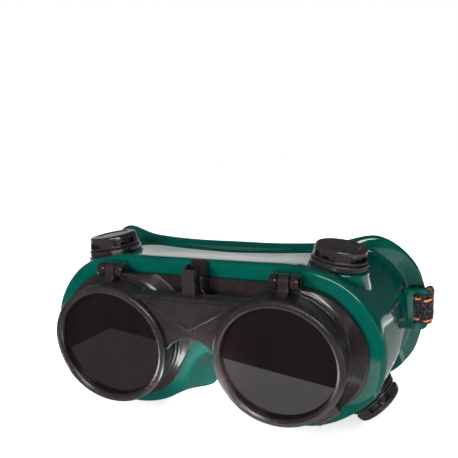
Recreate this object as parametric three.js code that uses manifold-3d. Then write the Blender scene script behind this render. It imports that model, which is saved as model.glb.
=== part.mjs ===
// Flip-front welding goggles: a soft cup-shaped face piece, a rigid carrier with two clear
// lenses, and a hinged front with two dark lenses.
//
// Millimetres. X runs across the face, +Y from the lenses towards the wearer, +Z up.
// The design frame has its origin midway between the two lenses, on the flip front's front
// plane. The exported group is leant forward the way the goggles rest on a table, on the face's
// lower edge, the lower vents and the flange. It stands on z = 0, centred in X and Y.
import * as THREE from 'three';
import { mergeVertices } from 'three/addons/utils/BufferGeometryUtils.js';
import Module from 'manifold-3d';

const wasm = await Module();
wasm.setup();

// ---- driving dimensions -------------------------------------------------------------------

const GAP = 0.3;                 // clearance between neighbouring pieces
const LENS_SPACING = 76.5;       // between the two lens centres
const LENS_R = 25;               // standard 50 mm round lens
const SIDES = [[-1, 'left'], [1, 'right']];
const LEAN = THREE.MathUtils.degToRad(8.6);

// flip front
const FLIP_R = 26.8;             // front face; the rim behind it is a little wider
const FLIP_RIM_R = 27.6;
const FLIP_DEPTH = 11;
const FLIP_OPENING_R = 24.2;
const FLIP_LIP = 2.8;            // thickness of the lip in front of the dark lens
const SHADE_THICK = 3;
const SHADE_RING_DEPTH = 3.6;
const BRIDGE_FRONT = 2;
const BRIDGE_TOP = 24.6;
const BRIDGE_TRAY = 9.5;         // how far back the bridge's top wall runs

// carrier with the clear lenses
const BARREL_FRONT = FLIP_DEPTH + GAP;
const BARREL_R = 26.1;
const CONE_R = 33.8;
const CONE_FRONT = 14.4;          // from here back the cone stays within the plate's outline
const PLATE_FRONT = 17.6;
const PLATE_BACK = 19.7;
const SEAT_R = LENS_R + GAP;
const CLEAR_OPENING_R = 23;
const CLEAR_FRONT = 18.2;
const CLEAR_THICK = 2;
const CLEAR_RING_FRONT = 11.8;

// hinge
const HINGE_X = 39.7;
const HINGE_Y = 12.2;
const HINGE_Z = 31.4;
const KNUCKLE_R = 3.3;
const KNUCKLE_LENGTH = 3.6;
const ARM_WIDTH = 4.6;
const PIN_R = 1.2;
const PIN_CLEARANCE = 0.08;      // running fit, so that the raised front holds by friction
const PIN_HEAD_R = 2.1;

// soft body
const FACE_Y = 20;               // front face of the soft body
const FACE_THICK = 3;
const WALL = 3;
const FLANGE_THICK = 4.2;

// vents
const CAP_R = 11.9;
const CAP_TOP_R = 11.2;
const CAP_HEIGHT = 5.9;
const CAP_WALL = 1.8;
const VENT_HOLE_R = 6;
const AIR_BORE_R = 2.7;
const TOP_VENT_TURN = 1.05;      // radians about the vent's own axis
const BOTTOM_VENT_TURN = 0.44;

// strap
const STRAP_WIDTH = 14;
const STRAP_THICK = 1.4;

// segments of round shapes
const LENS_SEGMENTS = 40;
const VENT_SEGMENTS = 20;
const SMALL_SEGMENTS = 14;

// ---- materials ----------------------------------------------------------------------------

const MATERIALS = {
  pvc: { color: 0x00695a, roughness: 0.25, metalness: 0 },
  black_plastic: { color: 0x1d1b1e, roughness: 0.35, metalness: 0 },
  shade_glass: { color: 0x06080a, roughness: 0.05, metalness: 0 },
  clear_glass: { color: 0xd9dedc, roughness: 0.05, metalness: 0 },
  steel: { color: 0x8a8a8c, roughness: 0.3, metalness: 1 },
  webbing: { color: 0x17161a, roughness: 0.9, metalness: 0 },
};

// ---- geometry helpers ---------------------------------------------------------------------

const v3 = (x, y, z) => new THREE.Vector3(x, y, z);

function signedVolume(geometry) {
  const p = geometry.attributes.position;
  const [a, b, c] = [v3(), v3(), v3()];
  let sum = 0;
  for (let i = 0; i < geometry.index.count; i += 3) {
    a.fromBufferAttribute(p, geometry.index.getX(i));
    b.fromBufferAttribute(p, geometry.index.getX(i + 1));
    c.fromBufferAttribute(p, geometry.index.getX(i + 2));
    sum += a.dot(b.cross(c));
  }
  return sum / 6;
}

// merges shared corners and turns every face outwards
function closed(geometry) {
  geometry.deleteAttribute('normal');
  geometry.deleteAttribute('uv');
  const merged = mergeVertices(geometry, 1e-4);
  if (signedVolume(merged) < 0) merged.index.array.reverse();
  return merged;
}

function solid(geometry) {
  const g = closed(geometry);
  return new wasm.Manifold(new wasm.Mesh({
    numProp: 3,
    vertProperties: new Float32Array(g.attributes.position.array),
    triVerts: new Uint32Array(g.index.array),
  }));
}

function fromSolid(body) {
  const mesh = body.getMesh();
  const geometry = new THREE.BufferGeometry();
  geometry.setAttribute('position', new THREE.BufferAttribute(mesh.vertProperties, 3));
  geometry.setIndex(new THREE.BufferAttribute(mesh.triVerts, 1));
  return geometry;
}

const join = (first, ...others) => others.reduce((sum, piece) => sum.add(piece), first);
const cut = (first, ...others) => others.reduce((rest, piece) => rest.subtract(piece), first);

// solid of revolution about Y through (x, 0, 0): profile of [radius, y] pairs that either
// starts and ends on the axis or closes on itself
function turned(profile, x = 0, segments = LENS_SEGMENTS) {
  const points = profile.map(([r, y]) => new THREE.Vector2(r, y));
  const onAxis = profile[0][0] === 0;
  if (!onAxis) points.push(points[0].clone());
  return new THREE.LatheGeometry(points, segments).translate(x, 0, 0);
}

// ring between two radii and two depths
const tube = (inner, outer, y0, y1) => [[inner, y0], [outer, y0], [outer, y1], [inner, y1]];
const disc = (r, y0, y1) => [[0, y0], [r, y0], [r, y1], [0, y1]];

function box(x0, x1, y0, y1, z0, z1) {
  return new THREE.BoxGeometry(x1 - x0, y1 - y0, z1 - z0)
    .translate((x0 + x1) / 2, (y0 + y1) / 2, (z0 + z1) / 2);
}

// outline in X and Z, extruded from y0 to y1
function slab(outline, y0, y1) {
  const shape = outline instanceof THREE.Shape
    ? outline
    : new THREE.Shape(outline.map(([x, z]) => new THREE.Vector2(x, z)));
  return new THREE.ExtrudeGeometry(shape, { depth: y1 - y0, bevelEnabled: false })
    .rotateX(Math.PI / 2)
    .translate(0, y1, 0);
}

// outline in Y and Z, extruded from x0 to x1
function sideSlab(outline, x0, x1) {
  const shape = new THREE.Shape(outline.map(([y, z]) => new THREE.Vector2(y, z)));
  return new THREE.ExtrudeGeometry(shape, { depth: x1 - x0, bevelEnabled: false })
    .applyMatrix4(new THREE.Matrix4().set(0, 0, 1, x0, 1, 0, 0, 0, 0, 1, 0, 0, 0, 0, 0, 1));
}

// cylinder along X
function rod(r, x0, x1, y, z) {
  return new THREE.CylinderGeometry(r, r, x1 - x0, SMALL_SEGMENTS)
    .rotateZ(Math.PI / 2)
    .translate((x0 + x1) / 2, y, z);
}

// skin over a row of closed sections with equal point counts; a loop has no end caps
function skin(sections, loop) {
  const n = sections[0].length;
  const index = [];
  const rows = loop ? sections.length : sections.length - 1;
  for (let i = 0; i < rows; i += 1) {
    const here = i * n;
    const next = ((i + 1) % sections.length) * n;
    for (let j = 0; j < n; j += 1) {
      const k = (j + 1) % n;
      index.push(here + j, next + j, next + k, here + j, next + k, here + k);
    }
  }
  if (!loop) {
    const last = (sections.length - 1) * n;
    for (let j = 1; j < n - 1; j += 1) {
      index.push(0, j, j + 1);
      index.push(last, last + j + 1, last + j);
    }
  }
  const geometry = new THREE.BufferGeometry();
  const flat = sections.flat().flatMap((p) => [p.x, p.y, p.z]);
  geometry.setAttribute('position', new THREE.Float32BufferAttribute(flat, 3));
  geometry.setIndex(index);
  return geometry;
}

// ---- the soft body's outlines -------------------------------------------------------------

// Four ribs of the moulded cup, right half from the top centre down to the nose: [x, y, z]
const FACE_RIB = [
  [0, 22.8, 35.5], [22, 22.8, 35.5], [43, 22.8, 35], [61, 22.8, 29.5], [74, 22.8, 15.8],
  [79.2, 22.8, 0], [75.8, 22.8, -19.2], [65.4, 22.8, -30.4], [51, 22.8, -38.2], [35, 22.8, -39.5],
  [20.5, 22.8, -35], [12, 22.8, -27], [6.9, 22.8, -15.8], [0, 22.8, -10],
];
const WALL_RIB = [
  [0, 46, 30], [23, 46, 30.2], [44, 46, 30.4], [63, 46, 25], [77, 47, 12.5],
  [81.8, 48, -2], [79, 50, -20], [67.4, 50, -31.4], [52, 50, -38.8], [36, 48, -39],
  [19.5, 44, -40.5], [11.8, 42, -38.6], [7, 40, -19.5], [0, 38, -9.5],
];
const ROOT_RIB = [
  [0, 62, 26.8], [24, 64, 27.5], [47, 67, 28.4], [66, 73, 25.5], [79, 80, 13],
  [84, 83, -3], [83, 87, -20], [75.5, 90, -33], [58, 87, -39.6], [40, 80, -39.4],
  [20, 60, -44.3], [11.3, 53, -43.3], [8, 50, -23.5], [0, 48, -10],
];
const LIP_RIB = [
  [0, 65, 31.3], [25, 66.5, 31], [49, 70, 31.8], [69, 77, 33.9], [85.6, 86.5, 18.8],
  [91.6, 90, 0], [89.2, 94.5, -22.5], [84.2, 98, -37.6], [72.5, 96, -49.2], [50, 90, -48.4],
  [28, 76, -46], [11.5, 60, -43.4], [8.6, 57, -26], [0, 55, -13],
];

function ribCurve(half) {
  const right = half.map(([x, y, z]) => v3(x, y, z));
  const left = half.slice(1, -1).reverse().map(([x, y, z]) => v3(-x, y, z));
  return new THREE.CatmullRomCurve3([...right, ...left], true, 'centripetal');
}

const RIBS = { face: FACE_RIB, wall: WALL_RIB, root: ROOT_RIB, lip: LIP_RIB };
const CURVES = Object.fromEntries(Object.entries(RIBS).map(([k, half]) => [k, ribCurve(half)]));

// point on a rib moved inwards, in the XZ plane, and set to a depth when one is given
function ribPoint(name, t, inset = 0, y = null) {
  const point = CURVES[name].getPoint(t);
  const tangent = CURVES[name].getTangent(t);
  const outward = v3(-tangent.z, 0, tangent.x).normalize();
  point.addScaledVector(outward, -inset);
  if (y !== null) point.y = y;
  return point;
}

const BODY_OPENING = 8.4;        // inset of the opening that grips the carrier
const CARRIER_INSET = 6.9;       // inset of the carrier's base plate
const CARRIER_LIP_INSET = 7.2;   // inset of the lip that holds the carrier in the opening
const NOSE_EXTRA = 6.4;          // the opening keeps further away from the nose arch
const NOSE_SPREAD = 0.013;
const NOSE_SIDE_EXTRA = -1.7;    // and comes closer to the edge on both sides of it
const NOSE_SIDE = 0.045;
const NOSE_SIDE_SPREAD = 0.03;
const BODY_STEPS = 64;           // steps round the ribs, shared with the carrier so the two fit
const NOSE_CROWDING = 0.55;      // how much closer together the steps are at the nose

// place round the ribs of one step
function stepPlace(i) {
  const turn = 2 * Math.PI * (i / BODY_STEPS);
  return (turn + NOSE_CROWDING * Math.sin(turn)) / (2 * Math.PI);
}

// point of an outline inside the front face
function openingPoint(t, inset, y) {
  const away = Math.abs(t - 0.5);
  const arch = NOSE_EXTRA * Math.exp(-((away / NOSE_SPREAD) ** 2));
  const flank = NOSE_SIDE_EXTRA * Math.exp(-(((away - NOSE_SIDE) / NOSE_SIDE_SPREAD) ** 2));
  return ribPoint('face', t, inset + arch + flank, y);
}

function openingOutline(inset) {
  const outline = [];
  for (let i = 0; i < BODY_STEPS; i += 1) {
    const p = openingPoint(stepPlace(i), inset, 0);
    outline.push([p.x, p.z]);
  }
  return outline;
}

// one closed section through the wall: front face, outer wall, flange, inner wall
function bodySection(t) {
  const outer = new THREE.CatmullRomCurve3([
    ribPoint('face', t), ribPoint('wall', t), ribPoint('root', t)]);
  const root = ribPoint('root', t);
  const lip = ribPoint('lip', t);
  const flangeMiddle = root.clone().lerp(lip, 0.5).add(v3(0, -0.4, 0));
  return [
    openingPoint(t, BODY_OPENING, FACE_Y),
    ribPoint('face', t, 3.6, FACE_Y),
    ribPoint('face', t, 1.1, FACE_Y + 0.8),
    outer.getPoint(0),
    outer.getPoint(0.25),
    outer.getPoint(0.5),
    outer.getPoint(0.75),
    root,
    flangeMiddle,
    lip,
    ribPoint('lip', t, 0.8).add(v3(0, FLANGE_THICK, 0)),
    root.clone().lerp(lip, 0.4).add(v3(0, FLANGE_THICK + 0.6, 0)),
    ribPoint('root', t, WALL).add(v3(0, 1.5, 0)),
    ribPoint('wall', t, WALL),
    ribPoint('face', t, WALL, FACE_Y + FACE_THICK + 3),
    ribPoint('face', t, 5.6, FACE_Y + FACE_THICK),
    openingPoint(t, BODY_OPENING, FACE_Y + FACE_THICK),
  ];
}

// ---- vents --------------------------------------------------------------------------------

// each vent's place is the centre of its cap's flat top; the axis points out of the body
const VENTS = SIDES.flatMap(([side, name]) => [
  {
    name: `top_${name}`,
    top: v3(side * 57.3, 43.2, 38.8),
    axis: v3(side * 0.15, 0.05, 0.99),
    turn: TOP_VENT_TURN,
  },
  {
    name: `bottom_${name}`,
    top: v3(side * 74.6, 41.6, -35),
    axis: v3(side * 0.69, -0.03, -0.72),
    turn: -side * BOTTOM_VENT_TURN,
  },
]);

// heights below the cap's top
const BASE_TOP = CAP_WALL + GAP;
const SEAT_LEVEL = 9;            // underside of the base flange
const NECK_DEPTH = 16;
const COLLAR_R = 9.9;            // the cap is pushed over this collar
const BASE_R = 12.8;
const WINDOW_TOP = 2.4;          // the windows in the cap's skirt and the gates behind them
const WINDOW_BOTTOM = 4.9;
const WINDOW_HALF = 5.6;
const GATE_HALF = 1.8;
const BOSS_R = 13.4;
const BOSS_FOOT_R = 17;
const BOSS_DEPTH = 20;

// turns a piece made about Y, with its top at the origin, onto the vent's axis; the piece's
// +Z side then faces the front of the goggles, turned about the axis by the vent's own angle
function onVent(geometry, vent) {
  const up = vent.axis.clone().normalize();
  const right = up.clone().cross(v3(0, -1, 0)).normalize();
  const front = right.clone().cross(up);
  return geometry.rotateY(vent.turn)
    .applyMatrix4(new THREE.Matrix4().makeBasis(right, up, front))
    .translate(...vent.top.toArray());
}

function ventCap(vent) {
  const cup = solid(turned([
    [0, 0], [CAP_TOP_R - 0.6, 0], [CAP_TOP_R, -0.5], [CAP_R, -WINDOW_BOTTOM], [CAP_R, -CAP_HEIGHT],
    [COLLAR_R + GAP, -CAP_HEIGHT], [COLLAR_R + GAP, -CAP_WALL], [0, -CAP_WALL],
  ], 0, VENT_SEGMENTS));
  const windows = [0, 1, 2, 3].map((i) => solid(
    box(-WINDOW_HALF, WINDOW_HALF, -WINDOW_BOTTOM, -WINDOW_TOP, COLLAR_R - 3, CAP_R + 2)
      .rotateY(i * Math.PI / 2)));
  return onVent(fromSolid(cut(cup, ...windows)), vent);
}

function ventBase(vent) {
  const profile = [
    [AIR_BORE_R, -BASE_TOP], [COLLAR_R, -BASE_TOP], [COLLAR_R, -CAP_HEIGHT - GAP],
    [BASE_R, -CAP_HEIGHT - GAP], [BASE_R, -SEAT_LEVEL], [VENT_HOLE_R - GAP, -SEAT_LEVEL],
    [VENT_HOLE_R - GAP, -NECK_DEPTH], [AIR_BORE_R, -NECK_DEPTH],
  ];
  const base = solid(turned(profile, 0, VENT_SEGMENTS));
  // air gates across the inner collar, behind the cap's windows
  const gates = [0, 1].map((i) => solid(
    box(-CAP_R, CAP_R, -WINDOW_BOTTOM, 1 - WINDOW_BOTTOM, -GATE_HALF, GATE_HALF)
      .rotateY(i * Math.PI / 2)));
  return onVent(fromSolid(cut(base, ...gates)), vent);
}

// conical seat moulded on the body under the base's flange
function ventBoss(vent) {
  const profile = [
    [0, -SEAT_LEVEL - GAP], [BOSS_R, -SEAT_LEVEL - GAP], [BOSS_FOOT_R, -BOSS_DEPTH],
    [0, -BOSS_DEPTH],
  ];
  return solid(onVent(turned(profile, 0, VENT_SEGMENTS), vent));
}

function ventHole(vent) {
  return solid(onVent(turned(disc(VENT_HOLE_R, 4 - SEAT_LEVEL, -24), 0, VENT_SEGMENTS), vent));
}

// room above the seat, so that the curved wall stays clear of the base flange
function ventRoom(vent) {
  return solid(onVent(turned(disc(BASE_R + 0.6, 4, -SEAT_LEVEL - GAP), 0, VENT_SEGMENTS), vent));
}

// ---- strap ears ---------------------------------------------------------------------------

const EAR_FRONT = 74.8;
const EAR_BACK = 77.8;
const EAR_OUT = 93;
const SLOT_IN = 86;
const SLOT_OUT = 88.6;
const STRAP_Z = -0.9;            // height of the strap's middle at the ears

function ear(side) {
  const outline = new THREE.Shape();
  outline.moveTo(81.4, -12);
  outline.lineTo(EAR_OUT - 5, -12);
  outline.quadraticCurveTo(EAR_OUT, -11.5, EAR_OUT, -7);
  outline.lineTo(EAR_OUT, 5.5);
  outline.quadraticCurveTo(EAR_OUT, 8.6, EAR_OUT - 4, 8.6);
  outline.lineTo(81.4, 8.6);
  return solid(slab(outline, EAR_FRONT, EAR_BACK).scale(side, 1, 1));
}

function earSlot(side) {
  const half = STRAP_WIDTH / 2 + 0.8;
  const slot = box(SLOT_IN, SLOT_OUT, EAR_FRONT - 4, EAR_BACK + 4, STRAP_Z - half, STRAP_Z + half);
  return solid(slot.scale(side, 1, 1));
}

// the space inside the cup, as wide as the inner side of its wall
function cavity() {
  const ring = (place) => Array.from({ length: BODY_STEPS }, (_, i) => place(stepPlace(i)));
  const inset = WALL - 0.2;
  return solid(skin([
    ring((t) => ribPoint('face', t, inset, FACE_Y + FACE_THICK)),
    ring((t) => ribPoint('wall', t, inset)),
    ring((t) => ribPoint('root', t, inset)),
  ], false));
}

function goggleBody() {
  const sections = [];
  for (let i = 0; i < BODY_STEPS; i += 1) sections.push(bodySection(stepPlace(i)));
  const cup = solid(skin(sections, true));
  const inside = cavity();
  const bosses = VENTS.map((vent) => cut(ventBoss(vent), inside));
  const ears = SIDES.map(([side]) => ear(side));
  const slots = SIDES.map(([side]) => earSlot(side));
  const joined = join(cup, ...bosses, ...ears);
  return fromSolid(cut(joined, ...VENTS.map(ventRoom), ...VENTS.map(ventHole), ...slots));
}

// ---- carrier with the clear lenses --------------------------------------------------------

const LENS_X = LENS_SPACING / 2;

function barrel(side) {
  return solid(turned([
    [20, BARREL_FRONT], [BARREL_R - 0.5, BARREL_FRONT], [BARREL_R, BARREL_FRONT + 0.6],
    [27.8, CONE_FRONT], [28.8, 14.8], [CONE_R, PLATE_FRONT], [CONE_R, PLATE_BACK],
    [20, PLATE_BACK],
  ], side * LENS_X));
}

function lensBore(side) {
  const back = FACE_Y + FACE_THICK + 4;
  return solid(turned([
    [0, BARREL_FRONT - 1], [SEAT_R, BARREL_FRONT - 1], [SEAT_R, CLEAR_FRONT + CLEAR_THICK + GAP],
    [CLEAR_OPENING_R, CLEAR_FRONT + CLEAR_THICK + GAP], [CLEAR_OPENING_R, back], [0, back],
  ], side * LENS_X));
}

// two fixed knuckles with the stem that carries them
function knuckles(side) {
  const inner = HINGE_X - ARM_WIDTH / 2 - GAP;
  const outer = HINGE_X + ARM_WIDTH / 2 + GAP;
  const stem = [
    [HINGE_Y, 24], [PLATE_BACK, 24], [PLATE_BACK, 29], [16.5, 31], [HINGE_Y, HINGE_Z + KNUCKLE_R],
  ];
  const spans = [[inner - KNUCKLE_LENGTH, inner], [outer, outer + KNUCKLE_LENGTH]];
  const parts = spans.flatMap(([a, b]) => {
    const [x0, x1] = side > 0 ? [a, b] : [-b, -a];
    return [
      solid(rod(KNUCKLE_R, x0, x1, HINGE_Y, HINGE_Z)),
      solid(sideSlab(stem, x0, x1)),
    ];
  });
  const [x0, x1] = side > 0
    ? [inner - KNUCKLE_LENGTH, outer + KNUCKLE_LENGTH]
    : [-outer - KNUCKLE_LENGTH, -inner + KNUCKLE_LENGTH];
  const backing = solid(box(x0, x1, HINGE_Y + KNUCKLE_R + 0.4, PLATE_BACK, 24, 29));
  return join(parts[0], ...parts.slice(1), backing);
}

function hingeBore(side) {
  const half = ARM_WIDTH / 2 + KNUCKLE_LENGTH + 1;
  const r = PIN_R + PIN_CLEARANCE;
  return solid(rod(r, side * HINGE_X - half, side * HINGE_X + half, HINGE_Y, HINGE_Z));
}

// spring tongue that the flip front's catch block snaps against, with a cheek on each side
const TONGUE_FRONT = 17.1;
const TONGUE_TOP = 36.6;

function catchTongue() {
  const tongue = solid(box(-3.2, 3.2, TONGUE_FRONT, TONGUE_FRONT + 1.7, 24, TONGUE_TOP));
  const cheek = [
    [PLATE_BACK, 22], [PLATE_BACK, 29], [17, 35], [14, 35], [9.6, 31.5], [9.6, 26.5], [14, 22],
  ];
  const cheeks = [solid(sideSlab(cheek, 3.5, 4.7)), solid(sideSlab(cheek, -4.7, -3.5))];
  const foot = solid(box(-4.7, 4.7, PLATE_FRONT, PLATE_BACK, 22, 29));
  return join(tongue, ...cheeks, foot);
}

function lensCarrier() {
  const plate = solid(slab(openingOutline(CARRIER_INSET), PLATE_FRONT, PLATE_BACK));
  const faceBack = FACE_Y + FACE_THICK;
  const spigot = solid(slab(openingOutline(BODY_OPENING + GAP), PLATE_BACK - 0.5, faceBack + 1));
  const lip = solid(slab(openingOutline(CARRIER_LIP_INSET), faceBack + GAP, faceBack + 1.6));
  const column = solid(slab(openingOutline(CARRIER_INSET), CONE_FRONT - 1, PLATE_BACK + 1));
  const outside = cut(solid(box(-90, 90, CONE_FRONT, PLATE_BACK + 0.5, -60, 60)), column);
  const barrels = SIDES.map(([side]) => cut(barrel(side), outside));
  const hinges = SIDES.map(([side]) => knuckles(side));
  const whole = join(plate, spigot, lip, ...barrels, ...hinges, catchTongue());
  const bores = SIDES.flatMap(([side]) => [lensBore(side), hingeBore(side)]);
  return fromSolid(cut(whole, ...bores));
}

function clearLens(side) {
  return turned(disc(LENS_R, CLEAR_FRONT, CLEAR_FRONT + CLEAR_THICK), side * LENS_X);
}

function clearLensRing(side) {
  return turned([
    [23.4, CLEAR_RING_FRONT], [24.2, CLEAR_RING_FRONT], [24.2, CLEAR_RING_FRONT + 0.7],
    [LENS_R, CLEAR_RING_FRONT + 0.7], [LENS_R, CLEAR_FRONT - GAP], [23.4, CLEAR_FRONT - GAP],
  ], side * LENS_X);
}

// ---- flip front ---------------------------------------------------------------------------

const SHADE_FRONT = FLIP_LIP + GAP;
const SHADE_BACK = SHADE_FRONT + SHADE_THICK;

function flipRing(side) {
  return solid(turned([
    [20, 0], [FLIP_R, 0], [FLIP_RIM_R, 0.9], [FLIP_RIM_R, 2.6], [27.2, FLIP_DEPTH], [20, FLIP_DEPTH],
  ], side * LENS_X));
}

function flipBore(side) {
  return solid(turned([
    [0, -1], [25.6, -1], [FLIP_OPENING_R, 1], [FLIP_OPENING_R, FLIP_LIP], [SEAT_R, FLIP_LIP],
    [SEAT_R, FLIP_DEPTH + 1], [0, FLIP_DEPTH + 1],
  ], side * LENS_X));
}

function bridge() {
  const web = new THREE.Shape();
  web.moveTo(-28, BRIDGE_TOP);
  web.lineTo(-14, -3);
  web.lineTo(-11.4, -1);
  web.quadraticCurveTo(-7, 5.8, 0, 5.8);
  web.quadraticCurveTo(7, 5.8, 11.4, -1);
  web.lineTo(14, -3);
  web.lineTo(28, BRIDGE_TOP);
  const triangle = [[-22, 23], [0, 10], [22, 23]];
  return [
    solid(slab(web, BRIDGE_FRONT + 1, BRIDGE_FRONT + 4)),
    solid(slab(triangle, BRIDGE_FRONT, BRIDGE_FRONT + 2)),
    solid(box(-28, 28, BRIDGE_FRONT + 0.6, BRIDGE_TRAY, BRIDGE_TOP - 2, BRIDGE_TOP)),
  ];
}

// arm between the fixed knuckles: an eye on the hinge axis and a strip down to the ring
function hingeArm(side) {
  const x0 = side * HINGE_X - ARM_WIDTH / 2;
  const x1 = side * HINGE_X + ARM_WIDTH / 2;
  const strip = [
    [HINGE_Y - KNUCKLE_R, HINGE_Z], [HINGE_Y, HINGE_Z], [HINGE_Y + 0.6, HINGE_Z - 2.5],
    [9.6, 24], [4, 24], [4, 26.6], [HINGE_Y - KNUCKLE_R, 28.4],
  ];
  return [solid(rod(KNUCKLE_R, x0, x1, HINGE_Y, HINGE_Z)), solid(sideSlab(strip, x0, x1))];
}

function catchBlock() {
  return [
    solid(box(-3, 3, 5.6, 8.4, BRIDGE_TOP - 1, 35.2)),
    solid(box(-3, 3, 5.6, BRIDGE_TRAY, BRIDGE_TOP - 1, 27)),
  ];
}

// finger tab that stands out of the right-hand ring, down and outwards
const TAB_ANGLE = 140;           // degrees from straight up
const TAB_FRONT = 5.7;
const TAB_DEPTH = 4.3;

function fingerTab() {
  const tab = new THREE.Shape();
  tab.moveTo(-6.25, FLIP_R - 1.2);
  tab.lineTo(-6.25, FLIP_R + 3.4);
  tab.quadraticCurveTo(-6, FLIP_R + 5, -4, FLIP_R + 5);
  tab.lineTo(4, FLIP_R + 5);
  tab.quadraticCurveTo(6, FLIP_R + 5, 6.25, FLIP_R + 3.4);
  tab.lineTo(6.25, FLIP_R - 1.2);
  const turn = THREE.MathUtils.degToRad(TAB_ANGLE);
  return solid(slab(tab, TAB_FRONT, TAB_FRONT + TAB_DEPTH).rotateY(turn).translate(LENS_X, 0, 0));
}

function flipFrame() {
  const rings = SIDES.map(([side]) => flipRing(side));
  const arms = SIDES.flatMap(([side]) => hingeArm(side));
  const whole = join(...rings, ...bridge(), ...arms, ...catchBlock(), fingerTab());
  const bores = SIDES.flatMap(([side]) => [flipBore(side), hingeBore(side)]);
  return fromSolid(cut(whole, ...bores));
}

function shadeLens(side) {
  return turned(disc(LENS_R, SHADE_FRONT, SHADE_BACK), side * LENS_X);
}

function shadeLensRing(side) {
  const front = SHADE_BACK + GAP;
  return turned(tube(22.6, LENS_R, front, front + SHADE_RING_DEPTH), side * LENS_X);
}

// pin with a head at its outer end
function hingePin(side) {
  const half = ARM_WIDTH / 2 + GAP + KNUCKLE_LENGTH;
  const shank = solid(rod(PIN_R, -half, half + GAP + 0.2, 0, 0));
  const head = solid(rod(PIN_HEAD_R, half + GAP, half + GAP + 0.5, 0, 0));
  const pin = fromSolid(join(shank, head));
  if (side < 0) pin.rotateY(Math.PI);
  return pin.translate(side * HINGE_X, HINGE_Y, HINGE_Z);
}

// ---- strap --------------------------------------------------------------------------------

const SLIDER_X = 10;
const SLIDER_HALF = 9;
const SLIDER_RAIL = 2;
const BAR_THICK = 1.6;
const STRAP_BACK_Y = 150;
const STRAP_BACK_Z = -49.1;      // the slider's lower edge just reaches the table

// route of the strap's middle line, right half, from its sewn end behind the ear to the back
const STRAP_ROUTE = [
  [91.5, 83.4, STRAP_Z], [89, 80.8, STRAP_Z], [87.5, 78.6, STRAP_Z], [87.3, 76.3, STRAP_Z],
  [87.5, 74.5, STRAP_Z], [88.7, 73.5, STRAP_Z], [90.8, 73.3, STRAP_Z], [93, 73.6, STRAP_Z],
  [94.2, 75, STRAP_Z], [94.3, 78, STRAP_Z], [94.4, 84, -1.4], [94.3, 91, -2.4],
  [93.2, 98, -4.6], [89.6, 109, -11.4], [83.5, 121, -21.6], [74, 132, -32.4], [60, 141.6, -41.4],
  [48, 147.2, -46.4], [38, 149.6, STRAP_BACK_Z], [30, STRAP_BACK_Y, STRAP_BACK_Z],
  [15, STRAP_BACK_Y, STRAP_BACK_Z], [0, STRAP_BACK_Y, STRAP_BACK_Z],
];
const STRAP_STEPS = 84;

function strap() {
  const right = STRAP_ROUTE.map(([x, y, z]) => v3(x, y, z));
  const left = STRAP_ROUTE.slice(0, -1).reverse().map(([x, y, z]) => v3(-x, y, z));
  const route = new THREE.CatmullRomCurve3([...right, ...left], false, 'centripetal');
  const sections = [];
  for (let i = 0; i <= STRAP_STEPS; i += 1) {
    const t = i / STRAP_STEPS;
    const middle = route.getPoint(t);
    const along = route.getTangent(t);
    const across = v3(0, 0, 1).addScaledVector(along, -along.z).normalize();
    const through = along.clone().cross(across).normalize();
    const corners = [[1, 1], [1, -1], [-1, -1], [-1, 1]];
    sections.push(corners.map(([a, b]) => middle.clone()
      .addScaledVector(across, a * STRAP_WIDTH / 2)
      .addScaledVector(through, b * STRAP_THICK / 2)));
  }
  return skin(sections, false);
}

// three-bar slider: two end bars on the head side of the strap, the middle bar outside it
function strapSlider() {
  const half = STRAP_WIDTH / 2 + GAP + SLIDER_RAIL;
  const bars = STRAP_THICK / 2 + GAP;
  const [x0, x1] = [SLIDER_X - SLIDER_HALF, SLIDER_X + SLIDER_HALF];
  const y = STRAP_BACK_Y;
  const z = STRAP_BACK_Z;
  const front = y - bars - BAR_THICK;
  const back = y + bars + BAR_THICK;
  const rails = [[z - half, z - half + SLIDER_RAIL], [z + half - SLIDER_RAIL, z + half]]
    .map(([z0, z1]) => solid(box(x0, x1, front, back, z0, z1)));
  const ends = [[x0, x0 + 3], [x1 - 3, x1]]
    .map(([a, b]) => solid(box(a, b, front, y - bars, z - half, z + half)));
  const middle = solid(box(SLIDER_X - 1.6, SLIDER_X + 1.6, y + bars, back, z - half, z + half));
  return fromSolid(join(...rails, ...ends, middle));
}

// ---- assembly -----------------------------------------------------------------------------

function part(name, geometry, look) {
  const shown = closed(geometry);
  shown.computeVertexNormals();
  const mesh = new THREE.Mesh(shown, new THREE.MeshStandardMaterial(MATERIALS[look]));
  mesh.name = name;
  return mesh;
}

const goggles = new THREE.Group();
goggles.add(part('goggle_body', goggleBody(), 'pvc'));
goggles.add(part('lens_carrier', lensCarrier(), 'black_plastic'));
goggles.add(part('flip_frame', flipFrame(), 'black_plastic'));
for (const [side, name] of SIDES) {
  goggles.add(part(`clear_lens_${name}`, clearLens(side), 'clear_glass'));
  goggles.add(part(`clear_lens_ring_${name}`, clearLensRing(side), 'black_plastic'));
  goggles.add(part(`shade_lens_${name}`, shadeLens(side), 'shade_glass'));
  goggles.add(part(`shade_lens_ring_${name}`, shadeLensRing(side), 'black_plastic'));
  goggles.add(part(`hinge_pin_${name}`, hingePin(side), 'steel'));
}
for (const vent of VENTS) {
  goggles.add(part(`vent_base_${vent.name}`, ventBase(vent), 'black_plastic'));
  goggles.add(part(`vent_cap_${vent.name}`, ventCap(vent), 'black_plastic'));
}
goggles.add(part('strap', strap(), 'webbing'));
goggles.add(part('strap_slider', strapSlider(), 'black_plastic'));

// lean it onto the table and stand it on z = 0, centred in X and Y
goggles.rotation.x = LEAN;
goggles.updateMatrixWorld(true);
const bounds = new THREE.Box3().setFromObject(goggles, true);
const middle = bounds.getCenter(v3());
goggles.position.set(-middle.x, -middle.y, -bounds.min.z);

export default goggles;
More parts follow.
